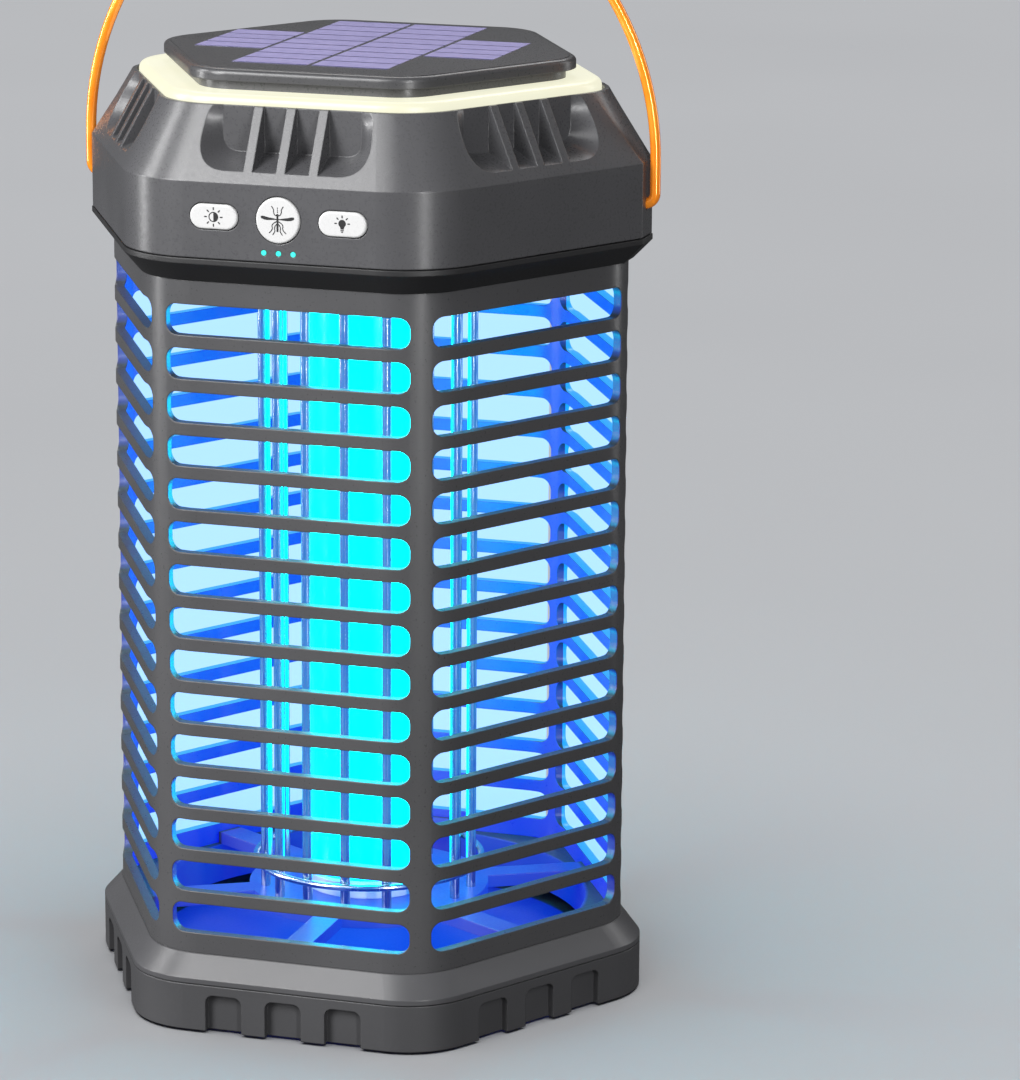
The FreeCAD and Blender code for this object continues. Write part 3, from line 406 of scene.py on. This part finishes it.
def round_dot(r, cx=0.0, cz=0.0, n=28, a0=0.0, a1=2 * math.pi):
    full = abs(a1 - a0 - 2 * math.pi) < 1e-6
    k = n if full else n + 1
    return [(cx + r * math.cos(a0 + (a1 - a0) * i / n), cz + r * math.sin(a0 + (a1 - a0) * i / n)) for i in range(k)]


def stroke(a, e, w):
    """A short straight line with round ends."""
    d = math.atan2(e[1] - a[1], e[0] - a[0])
    r = w / 2
    pts = [(e[0] + r * math.cos(d + t), e[1] + r * math.sin(d + t)) for t in [math.radians(v) for v in range(-90, 91, 20)]]
    pts += [(a[0] + r * math.cos(d + t), a[1] + r * math.sin(d + t)) for t in [math.radians(v) for v in range(90, 271, 20)]]
    return pts


def curved(points, w, steps=7):
    """A smooth bent line through points, as one ribbon outline."""
    out, P = [], [points[0]] + list(points) + [points[-1]]
    line = []
    for i in range(1, len(P) - 2):
        for s in range(steps):
            t = s / steps
            q = []
            for k in (0, 1):
                p0, p1, p2, p3 = P[i - 1][k], P[i][k], P[i + 1][k], P[i + 2][k]
                q.append(0.5 * (2 * p1 + (p2 - p0) * t + (2 * p0 - 5 * p1 + 4 * p2 - p3) * t * t + (3 * p1 - p0 - 3 * p2 + p3) * t ** 3))
            line.append(tuple(q))
    line.append(points[-1])
    # one ribbon, so that it is a single closed shape
    left, right = [], []
    for i, p in enumerate(line):
        a, c = line[max(0, i - 1)], line[min(len(line) - 1, i + 1)]
        d = math.atan2(c[1] - a[1], c[0] - a[0])
        left.append((p[0] - w / 2 * math.sin(d), p[1] + w / 2 * math.cos(d)))
        right.append((p[0] + w / 2 * math.sin(d), p[1] - w / 2 * math.cos(d)))
    return left + right[::-1]


def ribbon(bm, points, w, cx, cz, y, thick):
    poly = curved(points, w)
    n = len(poly) // 2
    left, right = poly[:n], poly[n:][::-1]
    for i in range(n - 1):
        plate(bm, [left[i], right[i], right[i + 1], left[i + 1]], cx, cz, y, thick)


FACE, THICK = -57.3, 0.03
BZ = 179.5 + LIFT
PX = 14.2

bm = bmesh.new()
ring = 24
for i in range(ring):
    a0, a1 = 2 * math.pi * i / ring, 2 * math.pi * (i + 1) / ring
    plate(bm, [(0.86 * math.cos(a0), 0.86 * math.sin(a0)), (1.08 * math.cos(a0), 1.08 * math.sin(a0)),
               (1.08 * math.cos(a1), 1.08 * math.sin(a1)), (0.86 * math.cos(a1), 0.86 * math.sin(a1))], -PX, BZ, FACE, THICK)
plate(bm, round_dot(0.88, n=18, a0=-math.pi / 2, a1=math.pi / 2), -PX, BZ, FACE, THICK)
for i in range(8):
    a = math.radians(45 * i)
    plate(bm, stroke((1.55 * math.cos(a), 1.55 * math.sin(a)), (1.93 * math.cos(a), 1.93 * math.sin(a)), 0.27), -PX, BZ, FACE, THICK)
mesh_object("symbol_dimmer", bm, ink_m, "button_dimmer")

bm = bmesh.new()
zc = BZ + 0.23
bulb = round_dot(0.82, n=26, a0=math.radians(-52), a1=math.radians(232)) + [(-0.36, -0.98), (-0.36, -1.22), (0.36, -1.22), (0.36, -0.98)]
plate(bm, bulb, PX, zc, FACE, THICK)
plate(bm, stroke((-0.27, -1.47), (0.27, -1.47), 0.24), PX, zc, FACE, THICK)
plate(bm, stroke((-0.12, -1.80), (0.12, -1.80), 0.22), PX, zc, FACE, THICK)
for i in range(5):
    a = math.radians(45 * i)
    plate(bm, stroke((1.25 * math.cos(a), 1.25 * math.sin(a)), (1.60 * math.cos(a), 1.60 * math.sin(a)), 0.26), PX, zc, FACE, THICK)
mesh_object("symbol_lamp", bm, ink_m, "button_lamp")

bm = bmesh.new()
plate(bm, stroke((0, 0.75), (0, -2.15), 0.44), 0, BZ, FACE, THICK)
plate(bm, round_dot(0.30, 0, 1.15), 0, BZ, FACE, THICK)
for k in range(3):
    plate(bm, stroke((0, 1.68 + 0.42 * k), (0, 1.90 + 0.42 * k), 0.15), 0, BZ, FACE, THICK)
for s in (-1, 1):
    wing = [(0.10, 0.38), (1.1, 0.52), (2.3, 0.72), (3.2, 0.92), (3.62, 0.88), (3.72, 0.66), (3.55, 0.36), (3.0, 0.14), (2.2, 0.06), (1.1, 0.14), (0.10, 0.20)]
    plate(bm, [(s * x, z) for x, z in wing], 0, BZ, FACE, THICK)
    for pts in ([(0.18, 1.0), (0.62, 1.25), (0.85, 1.75), (0.88, 2.35), (1.32, 3.05)],
                [(0.2, -0.15), (0.7, -0.45), (1.18, -0.95), (1.15, -1.7), (1.42, -2.2), (1.9, -2.65)],
                [(0.12, -0.7), (0.48, -1.05), (0.66, -1.6), (0.60, -2.25), (1.08, -3.0)]):
        ribbon(bm, [(s * x, z) for x, z in pts], 0.20, 0, BZ, FACE, THICK)
mesh_object("symbol_power", bm, ink_m, "button_power")

# ------------------------------------------------------------------ floor, light and air
bm = bmesh.new()
bmesh.ops.create_circle(bm, cap_ends=True, radius=6.0, segments=96)
me = bpy.data.meshes.new("floor")
bm.to_mesh(me)
bm.free()
floor = bpy.data.objects.new("floor", me)
scene.collection.objects.link(floor)
floor_only = bpy.data.collections.new("floor_only")
floor_only.objects.link(floor)
fm, nt, b = new_mat("floor")
n = noise(nt, 3.0, 2, 0.5)
c = ramp(nt, n.outputs["Fac"], [(0.3, (0.60, 0.605, 0.62)), (0.7, (0.62, 0.625, 0.64))])
nt.links.new(c.outputs[0], b.inputs["Base Color"])
b.inputs["Roughness"].default_value = 0.6
b.inputs["Specular IOR Level"].default_value = 0.1
me.materials.append(fm)
floor.visible_diffuse = False
floor.visible_glossy = False

world = bpy.data.worlds.new("air")
scene.world = world
world.use_nodes = True
bg = world.node_tree.nodes["Background"]
bg.inputs[0].default_value = (0.93, 0.95, 1.0, 1)
bg.inputs[1].default_value = 0.07


def light(name, kind, loc, aim, power, colour=(1, 1, 1), size=None):
    d = bpy.data.lights.new(name, kind)
    if kind == "AREA":
        d.shape = "RECTANGLE"
        d.size, d.size_y = size
    d.energy = power
    d.color = colour
    o = bpy.data.objects.new(name, d)
    o.location = loc
    o.rotation_euler = (Vector(aim) - Vector(loc)).to_track_quat("-Z", "Y").to_euler()
    scene.collection.objects.link(o)
    return o


# daylight that only reaches the floor, so that it stays pale under a dark object
day = light("floor_day", "SUN", (0, 0, 3), (0.0, 0.3, 0), 2.5, (0.98, 0.99, 1.0))
day.data.angle = 1.2
day.light_linking.receiver_collection = floor_only

mid = (0, 0, 0.11)


def polar(az, r, z):
    return (r * math.cos(math.radians(az)), r * math.sin(math.radians(az)), z)


lights = [
    light("key_left", "AREA", polar(-124, 1.05, 0.60), mid, 18.0, size=(0.5, 0.8)),
    light("roof_box", "AREA", polar(-112, 0.95, 1.0), (0, 0, 0.19), 6.0, size=(0.7, 0.6)),
    light("strip_mid", "AREA", polar(-50, 1.0, 0.40), mid, 7.0, size=(0.06, 0.9)),
    light("strip_left", "AREA", polar(-167, 1.0, 0.40), mid, 8.0, size=(0.14, 0.9)),
    light("rim_right", "AREA", polar(40, 1.0, 0.35), mid, 2.0, size=(0.20, 0.9)),
    light("top_back", "AREA", polar(100, 0.8, 1.0), (0, 0, 0.2), 5.5, size=(0.9, 0.5)),
]
object_only = bpy.data.collections.new("object_only")
for o in list(scene.objects):
    if o.type == "MESH" and o is not floor:
        object_only.objects.link(o)
for o in lights:
    o.light_linking.receiver_collection = object_only

# the lamp's own light hanging between the slots: one soft sheet per side, shining inwards
for k in range(6):
    a = math.radians(60 * k)
    n3 = Vector((math.sin(a), -math.cos(a), 0))
    z0, z1 = 20.5, 161.0
    g = light("inner_glow_%d" % k, "AREA", n3 * (50.9 * MM) + Vector((0, 0, (z0 + z1) / 2 * MM)), Vector((0, 0, (z0 + z1) / 2 * MM)),
              0.022, (0.0, 0.38, 1.0), size=(0.0525, (z1 - z0) * MM))
    g.visible_camera = True
